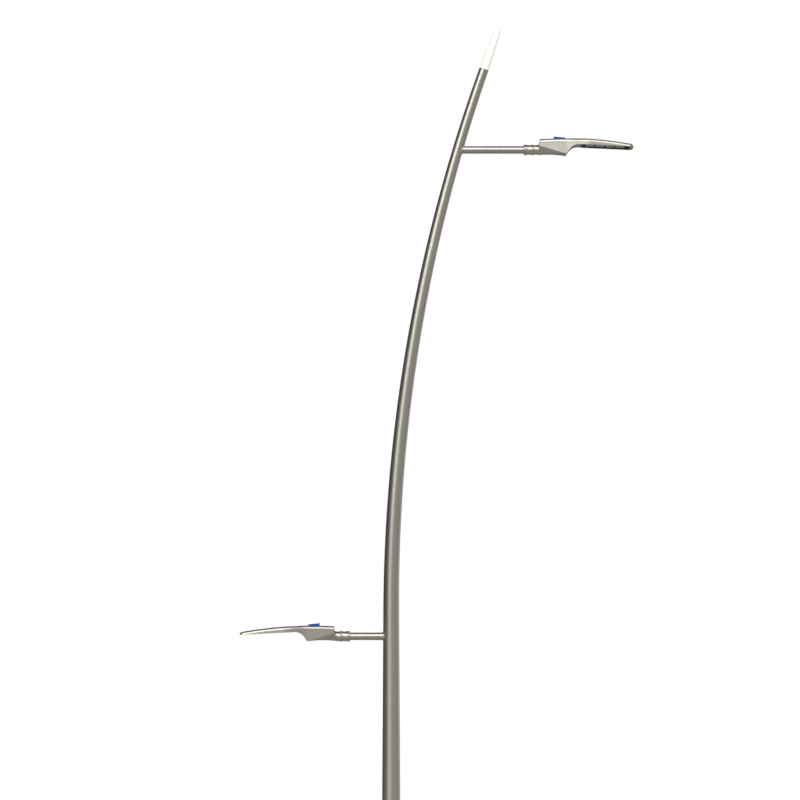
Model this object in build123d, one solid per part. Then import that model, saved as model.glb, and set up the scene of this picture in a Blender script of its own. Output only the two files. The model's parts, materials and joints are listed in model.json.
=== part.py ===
from build123d import *
import math
import os

# A bolted-down street lamp post. Millimetres, +Z up, origin at the centre of the base plate's
# underside. The post leans towards +X at its top; the service door faces -Y.

# ---- driving dimensions -------------------------------------------------------------------
BASE_OD = 176.0          # post outside diameter at the ground
TOP_OD = 76.0            # post outside diameter at its upper end
WALL = 4.0               # post wall
STRAIGHT = 4315.0        # height where the bend starts
BEND_R = 12945.0         # radius of the bend's centreline
BEND_DEG = 19.495        # angle the post has turned through at its upper end
SECTION_TOP = 1300.0     # height of the weld between base section and shaft
SHAFT_LENGTHS = 3        # welded lengths between the base section and the bend

PLATE_SIDE = 400.0       # square base plate
PLATE_T = 20.0
BOLT_SPACING = 300.0     # anchor holes, centre to centre
BOLT_HOLE_R = 14.0
CABLE_HOLE_R = 55.0      # opening in the base plate for the ground cable
GUSSET_H = 150.0
GUSSET_T = 10.0

DOOR_Z = 800.0           # height of the service door's middle
DOOR_W = 92.0            # width of the door opening
DOOR_H = 400.0           # height of the door opening
DOOR_T = 3.0
DOOR_GAP = 1.5           # gap round the door

ARM_OD = 60.0
ARM_WALL = 3.2
UPPER_ARM_Z = 7988.0
LOWER_ARM_Z = 4100.0
UPPER_REAR_X = 1191.0    # rear face of the upper luminaire
LOWER_REAR_X = -459.0    # rear face of the lower luminaire
ARM_ENTRY = 8.0          # how far an arm runs into its luminaire

SPIRE_LENGTH = 394.0     # luminous tip
SPIRE_OD = 75.0
SPIRE_WALL = 3.0
SPIRE_SEAL = 2.0
SPIRE_SCREW_Z = -35.0    # screws that hold the plug, measured from the post's end

RUN_GAP = 0.05           # radial clearance of a running fit

# luminaire, in its own frame: u outwards from the rear face, y across, v up from the arm axis
LUM_LENGTH = 744.0
REAR_TOP_U = -4.0        # the rear face slants: its top edge and its bottom edge
REAR_LOW_U = -12.0
LUM_WALL = 3.5
TOP_PEAK_U = 170.0       # highest point of the top line
TOP_PEAK_V = 84.5
TOP_R = 3190.0           # radius of the top line
SEAM_V = 52.0            # seam between housing and top cover
SEAM_GAP = 0.5
COVER_END = 256.0        # front edge of the top cover
BAY_END = 288.0          # front end of the gear bay
HEAD_U = 305.0           # start of the flat underside of the LED head
HEAD_V = 34.0
NOSE_V = 13.0            # underside height at the nose
EDGE_R = 24.0            # rounding of the long upper edges
CORNER_U = 207.0         # lower front corner of the gear bay
CORNER_V = -39.0
CHIN_U = 233.5           # upper end of the bay's slanted front
CHIN_V = -2.5
REAR_HALF = 85.0         # half width at the rear face
CORNER_HALF = 107.0      # half width at the lower front corner
HEAD_HALF = 150.0        # half width of the LED head

# cover hinge, latch and collar of a luminaire
HINGE_U = 257.0          # the cover turns about its front edge
HINGE_V = 84.0
KNUCKLE_R = 3.5
KNUCKLE_GAP = 0.5
HINGE_PIN_R = 1.5
COVER_KNUCKLE = (44.25, 56.25)
HOUSING_KNUCKLES = ((30.5, 43.5), (57.0, 70.0))
LATCH_U = 197.0          # latch pivot, at the lever's low front end
LATCH_V = 90.5
LATCH_NOSE_R = 5.5
LATCH_REAR_U = 111.0
LATCH_REAR_V = 104.5
LATCH_HALF = 32.0
LATCH_PIN_R = 2.0
COLLAR_LEN = 132.0
COLLAR_R = 39.5
SLEEVE_R = 32.0
SLEEVE_LEN = 12.0

# LED optics, in the head's own frame: s along the underside, t up into the head
POCKET_S = (20.0, 424.0)
POCKET_HALF = 132.0
POCKET_T = 10.0
CAVITY_S = (26.0, 418.0)
CAVITY_HALF = 120.0
CAVITY_T = 19.0
WINDOW_S = (27.0, 413.0)
WINDOW_HALF = 116.0
MODULE_S = 57.0          # start of the first LED module
MODULE_PITCH = 79.0
MODULES = 4
BOARD_T = 1.6
LED_ROWS = 6
LED_COLUMNS = 2

MIN = Align.MIN
MID = Align.CENTER
MAX = Align.MAX


# ---- helpers ------------------------------------------------------------------------------
def box(x, y, z):
    """A box from (low, high) pairs."""
    solid = Box(x[1] - x[0], y[1] - y[0], z[1] - z[0], align=(MIN, MIN, MIN))
    return Pos(x[0], y[0], z[0]) * solid


def rod_y(x, z, radius, y0, y1):
    """A round bar along Y."""
    return Pos(x, y0, z) * Rot(-90, 0, 0) * Cylinder(radius, y1 - y0, align=(MID, MID, MIN))


def rod_x(x0, x1, radius):
    """A round bar along X on the X axis."""
    return Pos(x0, 0, 0) * Rot(0, 90, 0) * Cylinder(radius, x1 - x0, align=(MID, MID, MIN))


def rod_z(x, y, z0, z1, radius):
    """A round bar along Z."""
    return Pos(x, y, z0) * Cylinder(radius, z1 - z0, align=(MID, MID, MIN))


def pair(shape):
    """The shape and its mirror image across the XZ plane."""
    return shape + mirror(shape, about=Plane.XZ)


# ---- post ---------------------------------------------------------------------------------
BEND_LENGTH = BEND_R * math.radians(BEND_DEG)
POST_LENGTH = STRAIGHT + BEND_LENGTH
SLOPE = (BASE_OD - TOP_OD) / 2 / POST_LENGTH
UPPER_ARM_X = BEND_R - math.sqrt(BEND_R ** 2 - (UPPER_ARM_Z - STRAIGHT) ** 2)


def post_radius(along):
    """Outside radius at a distance along the post's centreline."""
    return BASE_OD / 2 - SLOPE * along


def bend_plane(angle):
    """The cross-section plane at an angle round the bend, in degrees."""
    a = math.radians(angle)
    centre = (BEND_R * (1 - math.cos(a)), 0, STRAIGHT + BEND_R * math.sin(a))
    across = (math.cos(a), 0, -math.sin(a))
    return Plane(origin=centre, x_dir=across, z_dir=(math.sin(a), 0, math.cos(a)))


def straight_cone(low, high, inset=0.0):
    """A length of the straight, tapered post."""
    r_low = post_radius(low) - inset
    r_high = post_radius(high) - inset
    return Pos(0, 0, low) * Cone(r_low, r_high, high - low, align=(MID, MID, MIN))


def bend_form(inset=0.0, stations=6):
    """The bent, tapered upper length, as one loft along the arc."""
    angles = [BEND_DEG * i / stations for i in range(stations + 1)]
    radii = [post_radius(STRAIGHT + BEND_R * math.radians(a)) - inset for a in angles]
    return loft([bend_plane(a) * Circle(r) for a, r in zip(angles, radii)])


def arm_hole(z, x0, x1):
    """The cable hole behind an arm."""
    return Pos(0, 0, z) * rod_x(x0, x1, 20)


def base_plate():
    plate = Box(PLATE_SIDE, PLATE_SIDE, PLATE_T, align=(MID, MID, MIN))
    plate = fillet(plate.edges().filter_by(Axis.Z), 30)
    plate = chamfer(plate.faces().sort_by(Axis.Z)[-1].edges(), 2)
    holes = GridLocations(BOLT_SPACING, BOLT_SPACING, 2, 2) * Cylinder(BOLT_HOLE_R, 3 * PLATE_T)
    return plate - holes - Cylinder(CABLE_HOLE_R, 3 * PLATE_T)


def base_gussets():
    top = PLATE_T + GUSSET_H
    outline = Polyline((60, PLATE_T + 14), (60, top), (93, top), (186, PLATE_T + 22), (186, PLATE_T),
                       (110, PLATE_T), (94, PLATE_T + 14), (60, PLATE_T + 14))
    rib = extrude(Plane.XZ * make_face(outline), amount=GUSSET_T / 2, both=True)
    rib -= straight_cone(PLATE_T, top + 10)
    return Part() + [Rot(0, 0, 90 * i) * rib for i in range(4)]


def door_window(extra, y0=-120.0, y1=-40.0):
    """A block through the post's front, the size of the door opening plus a margin."""
    half = DOOR_W / 2 + extra
    block = box((-half, half), (y0, y1), (DOOR_Z - DOOR_H / 2 - extra, DOOR_Z + DOOR_H / 2 + extra))
    return fillet(block.edges().filter_by(Axis.Y), 16 + extra)


def base_section():
    tube = straight_cone(PLATE_T, SECTION_TOP) - straight_cone(PLATE_T, SECTION_TOP, WALL)
    return tube - door_window(0)


def middle_shaft():
    """Lengths of tapered tube, butt-welded end to end and ground flush."""
    step = (STRAIGHT - SECTION_TOP) / SHAFT_LENGTHS
    lengths = []
    for i in range(SHAFT_LENGTHS):
        low = SECTION_TOP + i * step
        high = low + step
        lengths.append(straight_cone(low, high) - straight_cone(low, high, WALL))
    lengths[-1] -= arm_hole(LOWER_ARM_Z, -100, 0)
    return Compound(children=lengths)


def upper_shaft():
    tube = bend_form() - bend_form(WALL)
    return tube - arm_hole(UPPER_ARM_Z, UPPER_ARM_X, UPPER_ARM_X + 100) - spire_screw_bores()


def arm_tube(x0, x1, z):
    return Pos(0, 0, z) * (rod_x(x0, x1, ARM_OD / 2) - rod_x(x0, x1, ARM_OD / 2 - ARM_WALL))


def upper_arm():
    return arm_tube(UPPER_ARM_X, UPPER_REAR_X + ARM_ENTRY, UPPER_ARM_Z) - bend_form()


def lower_arm():
    return arm_tube(LOWER_REAR_X - ARM_ENTRY, 0, LOWER_ARM_Z) - straight_cone(STRAIGHT - 500, STRAIGHT)


def weld_cone(x, z, direction, post):
    """The weld bead round an arm where it meets the post."""
    bead = Cone(ARM_OD / 2 + 9, ARM_OD / 2, 18, align=(MID, MID, MIN))
    bead = Pos(x, 0, z) * Rot(0, 90 * direction, 0) * bead
    return bead - Pos(0, 0, z) * rod_x(-200, UPPER_REAR_X, ARM_OD / 2) - post


def welds():
    """Beads at the foot of the post and at the root of each arm."""
    foot_r = post_radius(PLATE_T)
    foot = Pos(0, 0, PLATE_T) * Cone(foot_r + 8, foot_r, 9, align=(MID, MID, MIN))
    foot -= straight_cone(0, 100)
    low_r = post_radius(LOWER_ARM_Z)
    low = weld_cone(-(low_r - 10), LOWER_ARM_Z, -1, straight_cone(STRAIGHT - 500, STRAIGHT))
    reach = UPPER_ARM_Z - STRAIGHT
    high_r = post_radius(STRAIGHT + BEND_R * math.asin(reach / BEND_R))
    high = weld_cone(UPPER_ARM_X + high_r - 8, UPPER_ARM_Z, 1, bend_form())
    return Part() + [foot, low, high]


# ---- service door -------------------------------------------------------------------------
DOOR_LOW = DOOR_Z - DOOR_H / 2
DOOR_HIGH = DOOR_Z + DOOR_H / 2
POST_R_DOOR = post_radius(DOOR_Z)
HINGE_X = -(DOOR_W / 2 + 5)
HINGE_Y = -(math.sqrt(POST_R_DOOR ** 2 - HINGE_X ** 2) + 8.5)
HINGE_LEVELS = (DOOR_LOW + 70, DOOR_HIGH - 70)
LOCK_X = 18.0
LOCK_Y = -(math.sqrt(POST_R_DOOR ** 2 - LOCK_X ** 2) - 1)
LOCK_SHAFT_R = 5.0


def door_knuckle(level, low, high, side):
    """A hinge knuckle with a tab to the door (side +1) or to the post (side -1)."""
    barrel = rod_z(HINGE_X, HINGE_Y, level + low, level + high, 5.5)
    x = (HINGE_X, HINGE_X + 12) if side > 0 else (HINGE_X - 9, HINGE_X)
    reach = 5 if side > 0 else 14
    return barrel + box(x, (HINGE_Y, HINGE_Y + reach), (level + low, level + high))


def service_door():
    low = DOOR_LOW + DOOR_GAP
    high = DOOR_HIGH - DOOR_GAP
    edge = DOOR_W / 2 - DOOR_GAP
    skin = straight_cone(low - 5, high + 5) - straight_cone(low - 5, high + 5, DOOR_T)
    door = skin & door_window(-DOOR_GAP)
    cup = Pos(LOCK_X, LOCK_Y, DOOR_Z) * Rot(-90, 0, 0) * Cylinder(15, 12, align=(MID, MID, MIN))
    door += cup
    for level in HINGE_LEVELS:
        tab = door_knuckle(level, 0.5, 24, 1) - straight_cone(low, high, DOOR_T)
        door += tab - (straight_cone(low, high, -0.3) & box((-90, -edge), (-120, 0), (low, high)))
        door -= rod_z(HINGE_X, HINGE_Y, level, level + 25, 3 + RUN_GAP)
    recess = Pos(LOCK_X, LOCK_Y - 1, DOOR_Z) * Rot(-90, 0, 0) * Cylinder(11.5, 8, align=(MID, MID, MIN))
    shaft = Pos(LOCK_X, LOCK_Y, DOOR_Z) * Rot(-90, 0, 0)
    shaft *= Cylinder(LOCK_SHAFT_R + RUN_GAP, 40, align=(MID, MID, MIN))
    return door - recess - shaft


def door_hinges():
    """The post's two hinge knuckles, each with its pin standing up."""
    halves = []
    for level in HINGE_LEVELS:
        knuckle = door_knuckle(level, -24, 0, -1) - straight_cone(DOOR_LOW, DOOR_HIGH)
        pin = rod_z(HINGE_X, HINGE_Y, level - 24, level + 22, 3)
        halves.append(knuckle + pin)
    return Part() + halves


def door_frame():
    """A flanged strip inside the opening that the closed door rests against."""
    outer = straight_cone(DOOR_LOW - 30, DOOR_HIGH + 30, WALL)
    ring = outer - straight_cone(DOOR_LOW - 30, DOOR_HIGH + 30, WALL + 4)
    ring &= door_window(12)
    return ring - door_window(-12)


def door_seal():
    """A rubber strip on the frame, just behind the door's edge."""
    outer = straight_cone(DOOR_LOW - 30, DOOR_HIGH + 30, DOOR_T + 0.4)
    strip = outer - straight_cone(DOOR_LOW - 30, DOOR_HIGH + 30, WALL)
    strip &= door_window(-2)
    return strip - door_window(-8)


def door_lock():
    """Triangular-drive quarter turn: head, shaft and cam, stored released."""
    turn = Pos(LOCK_X, LOCK_Y, DOOR_Z) * Rot(-90, 0, 0)
    head = Pos(0, 0, 1) * Cylinder(10, 5.7, align=(MID, MID, MIN))
    drive = Pos(0, 0, 1) * extrude(RegularPolygon(5, 3), 4)
    shaft = Pos(0, 0, 3) * Cylinder(LOCK_SHAFT_R, 22, align=(MID, MID, MIN))
    cam = Pos(0, 0, 21) * Box(14, 34, 4, align=(MID, MIN, MIN))
    cam = fillet(cam.edges().filter_by(Axis.Z), 5)
    return turn * (head - drive + shaft + Pos(0, -7, 0) * cam)


# ---- terminals behind the door ------------------------------------------------------------
BRACKET_Y = 30.0


def terminal_bracket():
    """A steel strip along the back of the bay, with stand-offs to the wall and an earth stud."""
    strip = box((-22, 22), (BRACKET_Y, BRACKET_Y + 3), (DOOR_LOW + 20, DOOR_HIGH - 20))
    feet = Part()
    for z in (DOOR_LOW + 50, DOOR_HIGH - 50):
        feet += box((-8, 8), (BRACKET_Y + 3, 110), (z - 8, z + 8)) & straight_cone(z - 10, z + 10, WALL)
    stud = Pos(0, BRACKET_Y, DOOR_LOW + 50) * Rot(90, 0, 0)
    return strip + feet + stud * Cylinder(4, 22, align=(MID, MID, MIN))


def terminal_board():
    """The moulded terminal block that the ground cable ends in."""
    body = box((-30, 30), (BRACKET_Y - 34, BRACKET_Y), (DOOR_Z - 90, DOOR_Z + 20))
    body = fillet(body.edges().filter_by(Axis.Y), 4)
    deep = (BRACKET_Y - 35, BRACKET_Y - 24)
    ways = [box((x - 4, x + 4), deep, (DOOR_Z - 84, DOOR_Z - 62)) for x in (-20, -7, 7, 20)]
    return body - ways


def fuse_carriers():
    """Two fuse holders above the terminal block, one for each luminaire."""
    carriers = []
    for x in (-15, 15):
        carrier = box((x - 12, x + 12), (BRACKET_Y - 40, BRACKET_Y), (DOOR_Z + 32, DOOR_Z + 112))
        carrier = fillet(carrier.edges().filter_by(Axis.X), 4)
        grip = box((x - 8, x + 8), (BRACKET_Y - 48, BRACKET_Y - 36), (DOOR_Z + 56, DOOR_Z + 88))
        carriers.append(carrier + grip)
    return Part() + carriers


# ---- luminous tip -------------------------------------------------------------------------
TIP_FRAME = Location(bend_plane(BEND_DEG))


def spire_outline(inset):
    """Half outline of the pointed opal cap, from its base on the axis round to its apex."""
    r = SPIRE_OD / 2 - inset
    h = SPIRE_LENGTH - inset
    shoulder = Spline((r, 0), (0.965 * r, 0.30 * h), (0.82 * r, 0.62 * h), (0.52 * r, 0.88 * h), (0, h),
                      tangents=[(0, 1), (-1, 0)], tangent_scalars=[1.0, 0.35])
    closing = Polyline((0, h), (0, 0), (r, 0))
    return make_face(shoulder + closing)


def spire_diffuser():
    outer = revolve(Plane.XZ * spire_outline(0), Axis.Z)
    inner = revolve(Plane.XZ * spire_outline(SPIRE_WALL), Axis.Z)
    return TIP_FRAME * Pos(0, 0, SPIRE_SEAL) * (outer - inner)


def spire_gasket():
    ring = Cylinder(TOP_OD / 2 - 1.5, SPIRE_SEAL, align=(MID, MID, MIN))
    return TIP_FRAME * (ring - Cylinder(30, 3 * SPIRE_SEAL))


def spire_socket():
    """The plug in the top of the post, with the spigot that carries the cap and the LED core."""
    plug = Pos(0, 0, -70) * Cylinder(33, 70, align=(MID, MID, MIN))
    spigot = Cylinder(29.5, SPIRE_SEAL + 22, align=(MID, MID, MIN))
    return TIP_FRAME * (plug + spigot - Cylinder(8, 200)) - spire_screw_bores()


def spire_core():
    """The square aluminium tube that cools the LED strips."""
    start = SPIRE_SEAL + 22
    tube = Box(24, 24, 270, align=(MID, MID, MIN)) - Box(18, 18, 600)
    tube = fillet(tube.edges().filter_by(Axis.Z), 1)
    return TIP_FRAME * Pos(0, 0, start) * tube


def spire_led_strips():
    """Four circuit strips on the core's sides, each with its row of LEDs."""
    start = SPIRE_SEAL + 26
    strip = Pos(12, 0, start) * Box(1.6, 16, 262, align=(MIN, MID, MIN))
    chips = [Pos(13.6, 0, start + 13 + 26 * i) * Box(1, 5, 5, align=(MIN, MID, MID)) for i in range(10)]
    side = strip + chips
    return TIP_FRAME * (Part() + [Rot(0, 0, 90 * i) * side for i in range(4)])


def spire_screw_bores():
    bore = Pos(26, 0, SPIRE_SCREW_Z) * Rot(0, 90, 0) * Cylinder(3, 20, align=(MID, MID, MIN))
    return TIP_FRAME * (Part() + [Rot(0, 0, 90 + 120 * i) * bore for i in range(3)])


def spire_screws():
    """Three grub screws through the post's wall into the plug."""
    screw = Pos(26, 0, SPIRE_SCREW_Z) * Rot(0, 90, 0) * Cylinder(3, 11.5, align=(MID, MID, MIN))
    socket = Pos(35.5, 0, SPIRE_SCREW_Z) * Rot(0, 90, 0) * extrude(RegularPolygon(1.8, 6), 4)
    return TIP_FRAME * (Part() + [Rot(0, 0, 90 + 120 * i) * (screw - socket) for i in range(3)])


# ---- luminaire form -----------------------------------------------------------------------
def top_v(u):
    """Height of the top line."""
    return TOP_PEAK_V - TOP_R + math.sqrt(TOP_R ** 2 - (u - TOP_PEAK_U) ** 2)


def side_outline(inset=0.0):
    """The luminaire seen from the side, or the same outline moved inwards."""
    rear = REAR_TOP_U + inset
    rear_low = REAR_LOW_U + inset
    nose = LUM_LENGTH - inset
    middle = LUM_LENGTH / 2
    corner = (CORNER_U - 0.51 * inset, CORNER_V + inset)
    chin_top = (CHIN_U - 0.81 * inset, CHIN_V + 0.59 * inset)
    top = [(u, top_v(u) - inset) for u in (rear, middle, nose)]
    lines = [
        ThreePointArc(*top),
        Line(top[2], (nose, NOSE_V + inset)),
        Line((nose, NOSE_V + inset), (HEAD_U, HEAD_V + inset)),
        TangentArc(chin_top, (HEAD_U, HEAD_V + inset), tangent=(CHIN_U - CORNER_U, CHIN_V - CORNER_V)),
        Line(corner, chin_top),
        ThreePointArc(corner, (100, -30.5 + inset), (rear_low, -36 + inset)),
        Line((rear_low, -36 + inset), top[0]),
    ]
    return make_face(Curve() + lines)


def plan_outline(inset=0.0):
    """The luminaire seen from above, widening from the gear bay to the LED head."""
    flare = (CORNER_HALF - REAR_HALF) / CORNER_U
    nose = LUM_LENGTH - inset
    rear_half = REAR_HALF - inset
    rear = REAR_LOW_U - 5 + inset
    lines = [Line((rear, rear_half), (rear, -rear_half)), Line((nose, 112), (nose, -112))]
    for side in (1, -1):
        waist = (CORNER_U, side * (CORNER_HALF - inset))
        shoulder = (400, side * (HEAD_HALF - inset))
        rim_end = (710, side * (HEAD_HALF - 4 - inset))
        lines.append(Line((rear, side * rear_half), waist))
        lines.append(Spline(waist, shoulder, tangents=[(1, side * flare), (1, side * 0.02)]))
        lines.append(Line(shoulder, rim_end))
        lines.append(TangentArc(rim_end, (nose, side * 112), tangent=(1, -side * 0.013)))
    return make_face(Curve() + lines)


def undercut(inset=0.0):
    """The slanted facet on each flank, which runs out at the bay's lower front corner."""
    rear_high = Vector(0, REAR_HALF, 20)
    rear_low = Vector(0, 54, -36)
    front = Vector(CORNER_U, CORNER_HALF, CORNER_V)
    normal = (front - rear_high).cross(rear_low - rear_high).normalized()
    if normal.Z > 0:
        normal = -normal
    cutter = Plane(origin=rear_high, x_dir=front - rear_high, z_dir=normal)
    slab = cutter * Pos(0, 0, -inset) * Box(900, 500, 120, align=(MID, MID, MIN))
    return pair(slab)


def luminaire_form(inset=0.0):
    side = extrude(Plane.XZ * side_outline(inset), amount=200, both=True)
    plan = Pos(0, 0, -80) * extrude(plan_outline(inset), amount=240)
    return (side & plan) - undercut(inset)


def rounded_form(inset=0.0):
    """The luminaire's form with its long upper edges rounded."""
    form = luminaire_form(inset)
    long_edges = [e for e in form.edges() if e.bounding_box().size.X > 150 and e.center().Z > 40]
    return fillet(long_edges, EDGE_R - inset)


def bay_space():
    """The hollow of the gear bay."""
    return rounded_form(LUM_WALL) & box((-30, BAY_END), (-200, 200), (-60, 120))


def cover_zone(gap=0.0):
    """The region above the seam that belongs to the top cover."""
    return box((-30, COVER_END + gap), (-200, 200), (SEAM_V - gap, 140))


# ---- LED head frame -----------------------------------------------------------------------
HEAD_TILT = math.degrees(math.atan2(HEAD_V - NOSE_V, LUM_LENGTH - HEAD_U))
HEAD_FRAME = Pos(HEAD_U, 0, HEAD_V) * Rot(0, HEAD_TILT, 0)
SCREW_PLACES = [(s, side * 125.5) for s in (60, 168, 276, 384) for side in (-1, 1)]


def optic_pocket():
    """The stepped recess in the underside of the head."""
    wide = box(POCKET_S, (-POCKET_HALF, POCKET_HALF), (-5, POCKET_T))
    deep = box(CAVITY_S, (-CAVITY_HALF, CAVITY_HALF), (-5, CAVITY_T))
    wide = fillet(wide.edges().filter_by(Axis.Z), 12)
    return HEAD_FRAME * (wide + deep)


def cooling_grooves():
    """Grooves along the top of the head, which leave thin fins between them."""
    start = COVER_END + 34 - HEAD_U
    groove = box((start, 500), (-6, 6), (CAVITY_T + 6, 90))
    return HEAD_FRAME * (Part() + [Pos(0, 16 * i, 0) * groove for i in range(-7, 8)])


def screw_holes(radius, low, high):
    return HEAD_FRAME * (Part() + [rod_z(s, y, low, high, radius) for s, y in SCREW_PLACES])


# ---- luminaire pieces ---------------------------------------------------------------------
def housing():
    body = rounded_form() - bay_space() - cover_zone(SEAM_GAP)
    body -= optic_pocket()
    body -= cooling_grooves()
    body -= screw_holes(2.5, POCKET_T - 1, POCKET_T + 7)
    body -= rod_x(-20, SLEEVE_LEN + 0.2, SLEEVE_R)
    body -= Pos(0, 70, 46) * rod_x(BAY_END - 5, HEAD_U + 40, 4)
    for u in (76, 190):
        body += pair(rod_z(u, 36, -45, -22, 5)) & luminaire_form(1)
    ledge = box((246, 262), (-80, 80), (76, 79.2)) + box((258, 262), (-80, 80), (79, 81))
    body += ledge
    for low, high in HOUSING_KNUCKLES:
        lug = rod_y(HINGE_U, HINGE_V, KNUCKLE_R, low, high)
        body += pair(lug + box((HINGE_U, HINGE_U + 8), (low, high), (81, HINGE_V)))
    low, high = COVER_KNUCKLE
    body -= pair(rod_y(HINGE_U, HINGE_V, KNUCKLE_R + KNUCKLE_GAP, low - 0.5, high + 0.5))
    return body - pair(rod_y(HINGE_U, HINGE_V, HINGE_PIN_R, 25, 75))


def top_cover():
    cover = (rounded_form() - bay_space()) & cover_zone()
    for low, high in HOUSING_KNUCKLES:
        cover -= pair(rod_y(HINGE_U, HINGE_V, KNUCKLE_R + KNUCKLE_GAP, low - 0.5, high + 0.5))
    low, high = COVER_KNUCKLE
    knuckle = rod_y(HINGE_U, HINGE_V, KNUCKLE_R, low, high)
    knuckle += box((HINGE_U - 8, HINGE_U), (low, high), (81, HINGE_V))
    ear = rod_y(LATCH_U, LATCH_V, 6, 19, 25) + box((LATCH_U - 6, LATCH_U + 6), (19, 25), (82, LATCH_V))
    ear -= rod_y(LATCH_U, LATCH_V, LATCH_PIN_R, 15, 30)
    slot = box((110, 127), (-12, 12), (70, 100))
    bore = pair(rod_y(HINGE_U, HINGE_V, HINGE_PIN_R + RUN_GAP, 25, 75))
    return cover + pair(knuckle) + pair(ear) - slot - bore


def cover_hinge_pins():
    return pair(rod_y(HINGE_U, HINGE_V, HINGE_PIN_R, HOUSING_KNUCKLES[0][0], HOUSING_KNUCKLES[1][1]))


def latch_lever():
    """A wedge handle: tall at its free rear end, pivoted at its low front end."""
    slope = math.atan2(LATCH_REAR_V - LATCH_V - LATCH_NOSE_R, LATCH_U - LATCH_REAR_U)
    tangent = (LATCH_U + LATCH_NOSE_R * math.sin(slope), LATCH_V + LATCH_NOSE_R * math.cos(slope))
    bottom = LATCH_V - LATCH_NOSE_R
    front = ThreePointArc(tangent, (LATCH_U + LATCH_NOSE_R, LATCH_V), (LATCH_U, bottom))
    rest = Polyline((LATCH_U, bottom), (LATCH_REAR_U, bottom), (LATCH_REAR_U, LATCH_REAR_V), tangent)
    lever = extrude(Plane.XZ * make_face(front + rest), amount=LATCH_HALF, both=True)
    lever = fillet(lever.faces().sort_by(Axis.X)[0].edges().filter_by(Axis.Z), 6)
    lever -= rod_y(LATCH_REAR_U, bottom, 7, -20, 20)
    lever -= pair(rod_y(LATCH_U, LATCH_V, 11, 18.5, 25.5))
    lever -= rod_y(LATCH_U, LATCH_V, LATCH_PIN_R + RUN_GAP, -40, 40)
    tongue = box((120, 123), (-10, 10), (66, bottom + 2))
    return lever + tongue


def latch_pin():
    return rod_y(LATCH_U, LATCH_V, LATCH_PIN_R, -31, 31)


def spigot_collar():
    """A cast sleeve that slides over the arm: two raised bands, then a flare to the housing."""
    r = COLLAR_R
    outline = Polyline((-COLLAR_LEN, 30 + RUN_GAP), (-COLLAR_LEN, r - 3), (-COLLAR_LEN + 3, r), (-124, r))
    for u in (-116, -60):
        outline += ThreePointArc((u - 8, r), (u, r + 3.5), (u + 8, r))
    outline += ThreePointArc((-108, r), (-88, r - 1), (-68, r))
    outline += Line((-52, r), (-40, r - 1))
    outline += ThreePointArc((-40, r - 1), (-18, r + 0.5), (-2, r + 8))
    outline += Polyline((-2, r + 8), (-2, SLEEVE_R), (SLEEVE_LEN, SLEEVE_R), (SLEEVE_LEN, 30 + RUN_GAP),
                        (-COLLAR_LEN, 30 + RUN_GAP))
    collar = revolve(Plane.XZ * make_face(outline), Axis.X)
    collar -= luminaire_form() - rod_x(-20, SLEEVE_LEN + 1, SLEEVE_R)
    collar -= box((-30, 0), (-60, 60), (-60, -34.8))
    for u in (-88, -24):
        collar -= rod_z(u, 0, -60, 0, 4)
    return collar


def collar_screws():
    """Two clamp screws under the collar that grip the arm."""
    screws = []
    for u in (-88, -24):
        screw = rod_z(u, 0, -39, -30 - RUN_GAP, 4) - Pos(u, 0, -39) * extrude(RegularPolygon(2.4, 6), 4)
        screws.append(screw)
    return Part() + screws


def gear_tray():
    """The sheet that carries the electronics, with the upright strip that catches the latch."""
    tray = box((68, 198), (-46, 46), (-22, -20))
    tray = fillet(tray.edges().filter_by(Axis.Z), 6)
    return tray + box((123.8, 125.3), (-10, 10), (-20, 77))


def led_driver():
    case = box((132, 196), (-44, 44), (-20, 28))
    case = fillet(case.edges().filter_by(Axis.Z), 4)
    return case - [box((130, 134), (y - 3, y + 3), (0, 8)) for y in (-24, -12, 12, 24)]


def surge_protector():
    case = box((72, 116), (8, 44), (-20, 18))
    return fillet(case.edges().filter_by(Axis.Z), 3)


def terminal_block():
    case = box((74, 112), (-44, -6), (-20, 6))
    ways = [box((u - 4, u + 4), (-46, -34), (-8, 4)) for u in (82, 93, 104)]
    return case - ways


def led_board():
    """One circuit board for each LED module."""
    boards = []
    for i in range(MODULES):
        s = MODULE_S + MODULE_PITCH * i
        boards.append(box((s + 1, s + MODULE_PITCH - 1), (-110, 110), (CAVITY_T - BOARD_T, CAVITY_T)))
    return HEAD_FRAME * (Part() + boards)


def led_places():
    """The middle of each LED on the underside."""
    places = []
    for i in range(MODULES):
        for column in range(LED_COLUMNS):
            for row in range(LED_ROWS):
                s = MODULE_S + MODULE_PITCH * (i + (column + 0.5) / LED_COLUMNS)
                places.append((s, 36 * (row - (LED_ROWS - 1) / 2)))
    return places


def leds():
    top = CAVITY_T - BOARD_T
    low = top - 0.9
    chips = [box((s - 2.5, s + 2.5), (y - 2.5, y + 2.5), (low, top)) for s, y in led_places()]
    return HEAD_FRAME * (Part() + chips)


def lens_array():
    """A clear plate over each module, with a dome under every LED."""
    dome = Pos(0, 0, 6.5) * Sphere(9.5) & box((-12, 12), (-12, 12), (-9, 0.5))
    plates = []
    for i in range(MODULES):
        s = MODULE_S + MODULE_PITCH * i
        plate = box((s + 2, s + MODULE_PITCH - 2), (-109, 109), (14, 16))
        inside = [p for p in led_places() if s < p[0] < s + MODULE_PITCH]
        plates.append(plate + [Pos(p[0], p[1], 14) * dome for p in inside])
    return HEAD_FRAME * (Part() + plates)


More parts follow.
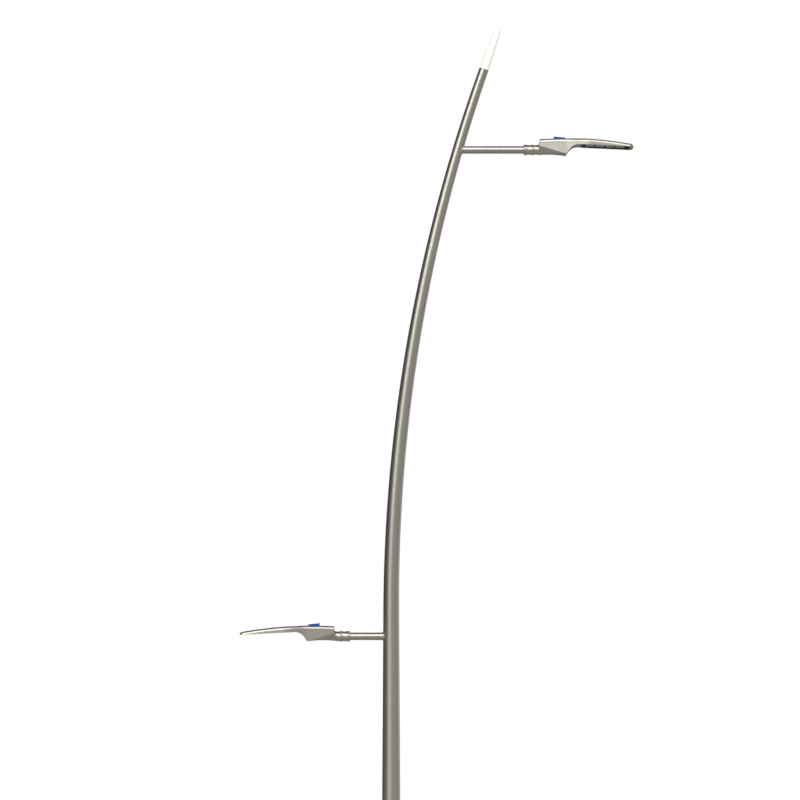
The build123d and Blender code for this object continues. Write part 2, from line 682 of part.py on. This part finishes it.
def optic_bezel():
    """The dark plate that frames the modules: wide at both ends, with narrow bars between."""
    half = WINDOW_HALF - 0.3
    plate = box((WINDOW_S[0] + 0.3, WINDOW_S[1] - 0.3), (-half, half), (0.6, 5))
    plate = fillet(plate.edges().filter_by(Axis.Z), 5.7)
    windows = []
    for i in range(MODULES):
        s = MODULE_S + MODULE_PITCH * i
        windows.append(box((s + 3, s + MODULE_PITCH - 3), (5 - WINDOW_HALF, WINDOW_HALF - 5), (0, 20)))
    return HEAD_FRAME * (plate - windows)


def cover_glass():
    glass = box((25, 419), (-119, 119), (5, 9))
    return HEAD_FRAME * fillet(glass.edges().filter_by(Axis.Z), 8)


def glass_gasket():
    half = POCKET_HALF - 0.5
    ring = box((POCKET_S[0] + 0.5, POCKET_S[1] - 0.5), (-half, half), (5, POCKET_T))
    ring = fillet(ring.edges().filter_by(Axis.Z), 11.5)
    inner = box((25, 419), (-119, 119), (0, 20))
    ring -= fillet(inner.edges().filter_by(Axis.Z), 8)
    return HEAD_FRAME * ring - screw_holes(4, 0, 20)


def optic_frame():
    """The flat ring under the glass, held by eight screws."""
    half = POCKET_HALF - 0.5
    ring = box((POCKET_S[0] + 0.5, POCKET_S[1] - 0.5), (-half, half), (0, 5))
    ring = fillet(ring.edges().filter_by(Axis.Z), 11.5)
    window = box(WINDOW_S, (-WINDOW_HALF, WINDOW_HALF), (-5, 10))
    ring -= fillet(window.edges().filter_by(Axis.Z), 6)
    return HEAD_FRAME * ring - screw_holes(2.5, -1, 6) - screw_holes(4.5, -1, 2.8)


def frame_screws():
    screws = []
    for s, y in SCREW_PLACES:
        screw = rod_z(s, y, 0.2, 2.8, 4.3) + rod_z(s, y, 2.8, POCKET_T + 6, 2.5)
        screws.append(screw - Pos(s, y, 0) * extrude(RegularPolygon(2, 6), 2))
    return HEAD_FRAME * (Part() + screws)


LUMINAIRE = {
    "spigot_collar": spigot_collar, "collar_screws": collar_screws, "housing": housing,
    "top_cover": top_cover, "cover_hinge_pins": cover_hinge_pins, "latch_lever": latch_lever,
    "latch_pin": latch_pin, "gear_tray": gear_tray, "led_driver": led_driver,
    "surge_protector": surge_protector, "terminal_block": terminal_block, "led_board": led_board,
    "leds": leds, "lens_array": lens_array, "optic_bezel": optic_bezel, "cover_glass": cover_glass,
    "glass_gasket": glass_gasket, "optic_frame": optic_frame, "frame_screws": frame_screws,
}
POST = {
    "base_plate": base_plate, "base_gussets": base_gussets, "base_section": base_section,
    "middle_shaft": middle_shaft, "upper_shaft": upper_shaft, "welds": welds,
    "upper_arm": upper_arm, "lower_arm": lower_arm, "service_door": service_door,
    "door_hinges": door_hinges, "door_frame": door_frame, "door_seal": door_seal,
    "door_lock": door_lock, "terminal_bracket": terminal_bracket, "terminal_board": terminal_board,
    "fuse_carriers": fuse_carriers, "spire_socket": spire_socket, "spire_gasket": spire_gasket,
    "spire_diffuser": spire_diffuser, "spire_core": spire_core,
    "spire_led_strips": spire_led_strips, "spire_screws": spire_screws,
}
PLACES = {
    "upper": Pos(UPPER_REAR_X, 0, UPPER_ARM_Z),
    "lower": Pos(LOWER_REAR_X, 0, LOWER_ARM_Z) * Rot(0, 0, 180),
}


def main():
    os.makedirs("parts", exist_ok=True)
    for name, make in POST.items():
        export_step(make(), f"parts/{name}.step")
    for name, make in LUMINAIRE.items():
        shape = make()
        for level, place in PLACES.items():
            export_step(place * shape, f"parts/{level}_{name}.step")


main()
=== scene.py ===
"""A street lamp post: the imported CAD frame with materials, weld beads, studio light and a camera."""
import json
import math

import bmesh
import bpy
from mathutils import Matrix, Vector
from mathutils.bvhtree import BVHTree


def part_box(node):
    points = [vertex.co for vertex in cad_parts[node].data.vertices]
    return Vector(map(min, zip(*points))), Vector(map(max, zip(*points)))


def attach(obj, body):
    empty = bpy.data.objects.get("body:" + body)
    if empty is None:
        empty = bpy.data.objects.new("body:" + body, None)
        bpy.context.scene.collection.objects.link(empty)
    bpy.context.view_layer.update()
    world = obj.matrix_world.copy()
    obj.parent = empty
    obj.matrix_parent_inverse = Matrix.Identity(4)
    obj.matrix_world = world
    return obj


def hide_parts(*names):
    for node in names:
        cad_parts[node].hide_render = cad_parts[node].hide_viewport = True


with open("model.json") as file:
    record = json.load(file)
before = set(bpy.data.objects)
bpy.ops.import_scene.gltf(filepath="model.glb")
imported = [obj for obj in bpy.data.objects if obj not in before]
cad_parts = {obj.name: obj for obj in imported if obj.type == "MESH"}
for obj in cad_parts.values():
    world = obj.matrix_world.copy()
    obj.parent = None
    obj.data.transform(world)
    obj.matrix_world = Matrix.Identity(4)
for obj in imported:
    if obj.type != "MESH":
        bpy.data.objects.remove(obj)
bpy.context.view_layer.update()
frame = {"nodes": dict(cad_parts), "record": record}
RECORD = frame["record"]
UP = Vector((0, 0, 1))

# ---- camera: near the lower luminaire's height, far back, tipped up a little --------------
CAMERA_DISTANCE = 34.0
CAMERA_HEIGHT = 4.4
VIEW_WIDTH = 6.3875          # metres across the picture at the post
VIEW_CENTRE_X = 0.0701
VIEW_CENTRE_Z = 5.984
SENSOR = 36.0
CLIP_END = 500


def add_camera():
    rise = VIEW_CENTRE_Z - CAMERA_HEIGHT
    data = bpy.data.cameras.new("camera")
    data.sensor_width = SENSOR
    data.lens = SENSOR * math.hypot(CAMERA_DISTANCE, rise) / VIEW_WIDTH
    data.clip_end = CLIP_END
    camera = bpy.data.objects.new("camera", data)
    bpy.context.collection.objects.link(camera)
    camera.location = (VIEW_CENTRE_X, -CAMERA_DISTANCE, CAMERA_HEIGHT)
    camera.rotation_euler = (math.pi / 2 + math.atan2(rise, CAMERA_DISTANCE), 0, 0)
    bpy.context.scene.camera = camera


# ---- studio -------------------------------------------------------------------------------
FLOOR_HALF = 20.0
ROOM_TINT = (1.0, 0.985, 0.95, 1)
# Patches of light in the room: direction, cosine at which each one begins, strength.
ROOM = ((0.35, -0.90, 0.22), -0.2, 0.265)   # the grey room itself, darker behind
LOBES = [
    ((-0.40, -0.80, 0.45), 0.88, 4.3),      # key, upper left and in front
    ((0.12, -0.74, 0.64), 0.88, 3.4),       # second key, higher and to the right
    ((0.95, -0.20, 0.05), 0.50, 0.25),      # broad fill from the right
    ((0.73, 0.63, 0.27), 0.84, 1.2),        # rim from the right and behind
    ((0.0, 0.97, -0.20), 0.85, 0.18),       # low glow from behind, seen in the glass
]


def add_floor():
    half = FLOOR_HALF
    corners = [(-half, -half, 0), (half, -half, 0), (half, half, 0), (-half, half, 0)]
    mesh = bpy.data.meshes.new("floor")
    mesh.from_pydata(corners, [], [(0, 1, 2, 3)])
    floor = bpy.data.objects.new("floor", mesh)
    bpy.context.collection.objects.link(floor)
    finish = make_material("studio_floor", (0.55, 0.55, 0.54), roughness=0.7, grain=(90, 0.0004))
    mesh.materials.append(finish)


def lobe(tree, direction, start, strength):
    """A soft patch of light round one direction."""
    coordinates = tree.nodes.new("ShaderNodeTexCoord")
    dot = tree.nodes.new("ShaderNodeVectorMath")
    dot.operation = "DOT_PRODUCT"
    dot.inputs[1].default_value = Vector(direction).normalized()
    tree.links.new(coordinates.outputs["Generated"], dot.inputs[0])
    ramp = tree.nodes.new("ShaderNodeMapRange")
    ramp.interpolation_type = "SMOOTHSTEP"
    ramp.inputs["From Min"].default_value = start
    ramp.inputs["From Max"].default_value = 1.0
    ramp.inputs["To Min"].default_value = 0.0
    ramp.inputs["To Max"].default_value = strength
    tree.links.new(dot.outputs["Value"], ramp.inputs["Value"])
    return ramp.outputs["Result"]


def add_studio():
    """A white surround to the eye; to the object, a grey room with two soft keys in front."""
    world = bpy.data.worlds.new("studio")
    bpy.context.scene.world = world
    world.use_nodes = True
    tree = world.node_tree
    tree.nodes.clear()
    total = lobe(tree, *ROOM)
    for patch in LOBES:
        add = tree.nodes.new("ShaderNodeMath")
        add.operation = "ADD"
        tree.links.new(total, add.inputs[0])
        tree.links.new(lobe(tree, *patch), add.inputs[1])
        total = add.outputs["Value"]
    room = tree.nodes.new("ShaderNodeBackground")
    room.inputs["Color"].default_value = ROOM_TINT
    tree.links.new(total, room.inputs["Strength"])
    white = tree.nodes.new("ShaderNodeBackground")
    white.inputs["Color"].default_value = (1, 1, 1, 1)
    path = tree.nodes.new("ShaderNodeLightPath")
    mix = tree.nodes.new("ShaderNodeMixShader")
    out = tree.nodes.new("ShaderNodeOutputWorld")
    tree.links.new(path.outputs["Is Camera Ray"], mix.inputs["Fac"])
    tree.links.new(room.outputs["Background"], mix.inputs[1])
    tree.links.new(white.outputs["Background"], mix.inputs[2])
    tree.links.new(mix.outputs["Shader"], out.inputs["Surface"])
    bpy.context.scene.view_settings.view_transform = "Standard"


# ---- materials ----------------------------------------------------------------------------
PATCH_DETAIL = 4.0
GRAIN_DETAIL = 3.0
NOISE_LOW, NOISE_HIGH = 0.3, 0.7     # the range that most of a noise pattern's values fall in


def link_noise(tree, vector, scale, detail, stretch=None):
    if stretch:
        mapping = tree.nodes.new("ShaderNodeMapping")
        mapping.inputs["Scale"].default_value = stretch
        tree.links.new(vector, mapping.inputs["Vector"])
        vector = mapping.outputs["Vector"]
    noise = tree.nodes.new("ShaderNodeTexNoise")
    noise.inputs["Scale"].default_value = scale
    noise.inputs["Detail"].default_value = detail
    tree.links.new(vector, noise.inputs["Vector"])
    return noise.outputs["Fac"]


def spread(tree, value, low, high):
    """Maps a noise value to a range."""
    node = tree.nodes.new("ShaderNodeMapRange")
    node.inputs["From Min"].default_value = NOISE_LOW
    node.inputs["From Max"].default_value = NOISE_HIGH
    node.inputs["To Min"].default_value = low
    node.inputs["To Max"].default_value = high
    tree.links.new(value, node.inputs["Value"])
    return node.outputs["Result"]


def make_material(name, colour, metallic=0.0, roughness=0.4, variation=0.06, patch=3.0, patch_stretch=None,
                  rough_variation=0.05, grain=(400, 0.0001), grain_stretch=None, sockets=None):
    """A Principled material with patchy colour, varying gloss and a fine bump.

    patch and grain[0] are noise scales, grain[1] is the bump's depth in metres.
    """
    material = bpy.data.materials.new(name)
    material.use_nodes = True
    tree = material.node_tree
    shader = tree.nodes["Principled BSDF"]
    shader.inputs["Metallic"].default_value = metallic
    for socket, value in (sockets or {}).items():
        shader.inputs[socket].default_value = value
    place = tree.nodes.new("ShaderNodeTexCoord").outputs["Object"]
    patches = link_noise(tree, place, patch, PATCH_DETAIL, patch_stretch)
    tint = tree.nodes.new("ShaderNodeMix")
    tint.data_type = "RGBA"
    tint.inputs["A"].default_value = (*[c * (1 - variation) for c in colour], 1)
    tint.inputs["B"].default_value = (*[min(1, c * (1 + variation)) for c in colour], 1)
    tree.links.new(spread(tree, patches, 0, 1), tint.inputs["Factor"])
    tree.links.new(tint.outputs["Result"], shader.inputs["Base Color"])
    fine = link_noise(tree, place, grain[0], GRAIN_DETAIL, grain_stretch)
    low, high = roughness - rough_variation, roughness + rough_variation
    tree.links.new(spread(tree, fine, low, high), shader.inputs["Roughness"])
    bump = tree.nodes.new("ShaderNodeBump")
    bump.inputs["Distance"].default_value = grain[1]
    tree.links.new(fine, bump.inputs["Height"])
    tree.links.new(bump.outputs["Normal"], shader.inputs["Normal"])
    return material


def make_finishes():
    """One material for each of the record's slots."""
    coat = {"Coat Weight": 0.25, "Coat Roughness": 0.25}
    # Painted glow: a faint emission brightens the opal tip, which is an unlit diffuser and no lamp.
    opal_painted_glow = {"Emission Color": (1, 0.985, 0.95, 1), "Emission Strength": 0.26}
    looks = {
        "post_paint": dict(
            colour=(0.43, 0.415, 0.375), metallic=0.85, roughness=0.36, variation=0.05, patch=2.0,
            patch_stretch=(1, 1, 0.15), rough_variation=0.02, grain=(900, 0.00002), sockets=coat),
        "head_paint": dict(
            colour=(0.46, 0.445, 0.40), metallic=0.85, roughness=0.38, variation=0.04, patch=5.0,
            rough_variation=0.02, grain=(1100, 0.00002), sockets=coat),
        "latch_blue": dict(
            colour=(0.008, 0.080, 0.40), roughness=0.42, variation=0.08, patch=30.0,
            grain=(500, 0.00008), sockets={"Specular IOR Level": 0.3}),
        # the opal tip's emission is painted glow, not a lamp
        "opal_plastic": dict(
            colour=(0.93, 0.91, 0.85), roughness=0.32, variation=0.01, patch=8.0, sockets=opal_painted_glow),
        "steel": dict(
            colour=(0.6, 0.6, 0.6), metallic=1.0, roughness=0.3, variation=0.05, patch=60.0,
            rough_variation=0.08, grain=(2500, 0.00005)),
        "zinc_steel": dict(
            colour=(0.62, 0.64, 0.66), metallic=1.0, roughness=0.42, variation=0.15, patch=45.0),
        "aluminium": dict(
            colour=(0.76, 0.76, 0.77), metallic=1.0, roughness=0.34, variation=0.04, patch=20.0,
            rough_variation=0.06, grain=(300, 0.00005), grain_stretch=(1, 1, 0.05)),
        "rubber": dict(
            colour=(0.025, 0.025, 0.025), roughness=0.75, variation=0.15, patch=40.0),
        "black_plastic": dict(
            colour=(0.018, 0.016, 0.014), roughness=0.7, variation=0.1, patch=40.0,
            rough_variation=0.08, grain=(500, 0.0001), sockets={"Specular IOR Level": 0.15}),
        "grey_plastic": dict(
            colour=(0.66, 0.66, 0.63), roughness=0.5, variation=0.03, patch=20.0),
        "circuit_board": dict(
            colour=(0.8, 0.81, 0.78), roughness=0.4, variation=0.03, patch=60.0),
        "led_chip": dict(
            colour=(0.9, 0.7, 0.12), roughness=0.35, variation=0.05, patch=200.0),
        "lens_plastic": dict(
            colour=(0.95, 0.97, 0.98), roughness=0.06, variation=0.01, patch=20.0, rough_variation=0.02,
            grain=(600, 0.00001), sockets={"Transmission Weight": 0.9, "IOR": 1.49}),
        "glass": dict(
            colour=(0.93, 0.96, 0.96), roughness=0.04, variation=0.01, patch=10.0, rough_variation=0.02,
            grain=(200, 0.000005), sockets={"Transmission Weight": 0.95, "IOR": 1.5}),
    }
    return {slot: make_material(slot, **look) for slot, look in looks.items()}


def finish_nodes(finishes):
    for part in RECORD["subparts"]:
        node = frame["nodes"][part["node"]]
        for slot in node.material_slots:
            slot.material = finishes[part["material_slot"]]


# ---- weld beads ---------------------------------------------------------------------------
BEAD_R = 0.0048
SECTION_POINTS = 12
RIPPLE_PITCH = 0.0042
RIPPLE_BASE, RIPPLE_RISE = 0.90, 0.12            # shares of the bead's radius
WANDERS = ((0.05, 61, 0), (0.04, 143, 1))        # share of the radius, turns along the bead, start
BEAD_LIFT = 0.12                                 # how far the bead's middle stands out of its corner
CREST_LEAN = 0.35                                # how far the crest leans along the bead
END_RINGS, END_SHARE = 3, 0.35                   # an open bead thins over its last rings
ARM_STEPS = 400
FOOT_STEPS = 900
RISE_STEPS = 100                                 # up a gusset
RUN_STEPS = 70                                   # along a gusset's foot
RISE_FROM, RISE_SHORT = 0.018, 0.022             # where the rising bead starts, and its length's cut
RUN_FROM, RUN_SHORT = 0.028, 0.034               # the same for the bead along the plate
RAY_START = 0.3                                  # outside the post, at its foot
ARM_RAY_START = 2                                # outside the post, along an arm
PROBE_ALONG, PROBE_ASIDE, PROBE_LIFT = 0.7, 0.1, 0.006   # a point that looks at a gusset's face


def skin(node):
    """A search tree of a CAD node's surface, in the row frame."""
    mesh = frame["nodes"][node].data
    return BVHTree.FromPolygons([v.co for v in mesh.vertices], [p.vertices for p in mesh.polygons])


def bead(mesh, corner, outward, up, closed):
    """Sweeps a rippled bead along a corner. outward and up are the corner's two free directions."""
    vertices, faces = mesh
    first = len(vertices)
    count = len(corner)
    travelled = 0.0
    for i, point in enumerate(corner):
        before = corner[i - 1] if i or closed else point
        travelled += (point - before).length if i else 0.0
        after = corner[(i + 1) % count] if closed or i + 1 < count else point
        along = (after - before).normalized()
        ripple = abs(math.sin(math.pi * travelled / RIPPLE_PITCH))
        wander = sum(share * math.sin(travelled * turns + start) for share, turns, start in WANDERS)
        radius = BEAD_R * (RIPPLE_BASE + RIPPLE_RISE * ripple + wander)
        if not closed:
            end = min(i, count - 1 - i) / END_RINGS
            radius *= min(1.0, END_SHARE + (1 - END_SHARE) * end)
        centre = point + BEAD_LIFT * BEAD_R * (outward[i] + up[i])
        for k in range(SECTION_POINTS):
            turn = 2 * math.pi * k / SECTION_POINTS
            crest = math.cos(turn - math.pi / 4)
            offset = outward[i] * math.cos(turn) + up[i] * math.sin(turn)
            vertices.append(centre + radius * offset + along * CREST_LEAN * BEAD_R * crest)
    rings = count if closed else count - 1
    for i in range(rings):
        for k in range(SECTION_POINTS):
            here = first + i * SECTION_POINTS
            there = first + (i + 1) % count * SECTION_POINTS
            turn = (k + 1) % SECTION_POINTS
            faces.append((here + k, here + turn, there + turn, there + k))
    if not closed:
        last = first + (count - 1) * SECTION_POINTS
        faces.append(tuple(first + k for k in reversed(range(SECTION_POINTS))))
        faces.append(tuple(last + k for k in range(SECTION_POINTS)))


def arm_bead(mesh, arm, shaft, side):
    """The bead round an arm's root, on the post's curved skin."""
    low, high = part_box(arm)
    middle = (low + high) / 2
    radius = (high.z - low.z) / 2
    post = skin(shaft)
    corner, up = [], []
    for i in range(ARM_STEPS):
        turn = 2 * math.pi * i / ARM_STEPS
        ring = Vector((0, math.cos(turn), math.sin(turn)))
        start = Vector((middle.x + side * ARM_RAY_START, 0, middle.z)) + ring * radius
        corner.append(post.ray_cast(start, Vector((-side, 0, 0)))[0])
        up.append(ring)
    bead(mesh, corner, [Vector((side, 0, 0))] * ARM_STEPS, up, True)


def foot_beads(mesh):
    """The bead round the post's foot and those along the gussets."""
    plate_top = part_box("base_plate")[1].z
    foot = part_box("base_section")
    radius = (foot[1].x - foot[0].x) / 2
    turns = [2 * math.pi * i / FOOT_STEPS for i in range(FOOT_STEPS)]
    rings = [Vector((math.cos(turn), math.sin(turn), 0)) for turn in turns]
    corner = [ring * radius + UP * plate_top for ring in rings]
    bead(mesh, corner, rings, [UP] * FOOT_STEPS, True)
    post, rib = skin("base_section"), skin("base_gussets")
    rib_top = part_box("base_gussets")[1].z
    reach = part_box("base_gussets")[1].x
    probe = Vector((reach * PROBE_ALONG, PROBE_ASIDE, plate_top + PROBE_LIFT))
    face = rib.ray_cast(probe, Vector((0, -1, 0)))[0].y
    for quarter in range(4):
        spin = Matrix.Rotation(quarter * math.pi / 2, 3, "Z")
        for side in (-1, 1):
            sideways = spin @ Vector((0, side, 0))
            outward = spin @ Vector((1, 0, 0))
            rise = []
            for i in range(RISE_STEPS):
                z = plate_top + RISE_FROM + (rib_top - plate_top - RISE_SHORT) * i / (RISE_STEPS - 1)
                hit = post.ray_cast(Vector((RAY_START, side * face, z)), Vector((-1, 0, 0)))[0]
                rise.append(spin @ hit)
            bead(mesh, rise, [outward] * RISE_STEPS, [sideways] * RISE_STEPS, False)
            run = []
            for i in range(RUN_STEPS):
                x = radius + RUN_FROM + (reach - radius - RUN_SHORT) * i / (RUN_STEPS - 1)
                run.append(spin @ Vector((x, side * face, plate_top)))
            bead(mesh, run, [sideways] * RUN_STEPS, [UP] * RUN_STEPS, False)


def add_weld_beads():
    mesh = ([], [])
    arm_bead(mesh, "upper_arm", "upper_shaft", 1)
    arm_bead(mesh, "lower_arm", "middle_shaft", -1)
    foot_beads(mesh)
    data = bpy.data.meshes.new("weld_beads")
    data.from_pydata(mesh[0], [], mesh[1])
    data.validate()
    data.shade_smooth()
    beads = bpy.data.objects.new("weld_beads", data)
    bpy.context.collection.objects.link(beads)
    data.materials.append(finishes["post_paint"])
    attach(beads, "post")
    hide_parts("welds")


# ---- door leaf ----------------------------------------------------------------------------
RECESS_R = 0.0116            # round hole for the lock's key, in the door's face
RECESS_OUT = 0.020           # how far out of the lock's joint the hole is opened
RECESS_IN = 0.003            # how far in from it
RECESS_SIDES = 96
SAME_POINT = 1e-6
ROUND_ENOUGH = math.cos(math.radians(6))     # how nearly radial a face of the curved skins is
FLAT_FRONT = 0.99999                         # how nearly a face looks straight to the front


def recess_cutter():
    """A plug on the lock's axis, from outside the door to the lock's head."""
    turn = next(j for j in RECORD["behaviour"]["joints"] if j["name"] == "lock_turn")
    place = Vector(turn["pos_m"]) + Vector((0, (RECESS_IN - RECESS_OUT) / 2, 0))
    stand = Matrix.Translation(place) @ Matrix.Rotation(math.pi / 2, 4, "X")
    mesh = bmesh.new()
    bmesh.ops.create_cone(mesh, cap_ends=True, segments=RECESS_SIDES, radius1=RECESS_R, radius2=RECESS_R,
                          depth=RECESS_OUT + RECESS_IN, matrix=stand)
    data = bpy.data.meshes.new("recess_cutter")
    mesh.to_mesh(data)
    mesh.free()
    cutter = bpy.data.objects.new("recess_cutter", data)
    bpy.context.collection.objects.link(cutter)
    return cutter


def leaf_normals(data):
    """Normals that follow the post's roundness on the door's curved skins and are flat elsewhere."""
    normals = []
    for polygon in data.polygons:
        facing = polygon.normal
        middle = Vector((polygon.center.x, polygon.center.y, 0)).normalized()
        curved = abs(facing.dot(middle)) > ROUND_ENOUGH and abs(facing.y) < FLAT_FRONT
        side = 1 if facing.dot(middle) > 0 else -1
        for index in polygon.vertices:
            place = data.vertices[index].co
            radial = Vector((place.x, place.y, 0)).normalized()
            normals.append(side * radial if curved else facing)
    return normals


def add_door_leaf():
    """The service door with its lock recess opened right through the curved face."""
    mesh = bmesh.new()
    mesh.from_mesh(frame["nodes"]["service_door"].data)
    bmesh.ops.remove_doubles(mesh, verts=mesh.verts, dist=SAME_POINT)
    data = bpy.data.meshes.new("door_leaf")
    mesh.to_mesh(data)
    mesh.free()
    leaf = bpy.data.objects.new("door_leaf", data)
    bpy.context.collection.objects.link(leaf)
    cutter = recess_cutter()
    cut = leaf.modifiers.new("recess", "BOOLEAN")
    cut.operation = "DIFFERENCE"
    cut.solver = "EXACT"
    cut.object = cutter
    bpy.context.view_layer.update()
    shaped = leaf.evaluated_get(bpy.context.evaluated_depsgraph_get())
    leaf.data = bpy.data.meshes.new_from_object(shaped)
    leaf.modifiers.clear()
    bpy.data.objects.remove(cutter)
    leaf.data.materials.clear()
    leaf.data.materials.append(finishes["post_paint"])
    leaf.data.shade_smooth()
    leaf.data.normals_split_custom_set(leaf_normals(leaf.data))
    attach(leaf, "door")
    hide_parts("service_door")


finishes = make_finishes()
finish_nodes(finishes)
add_weld_beads()
add_door_leaf()
add_camera()
add_floor()
add_studio()
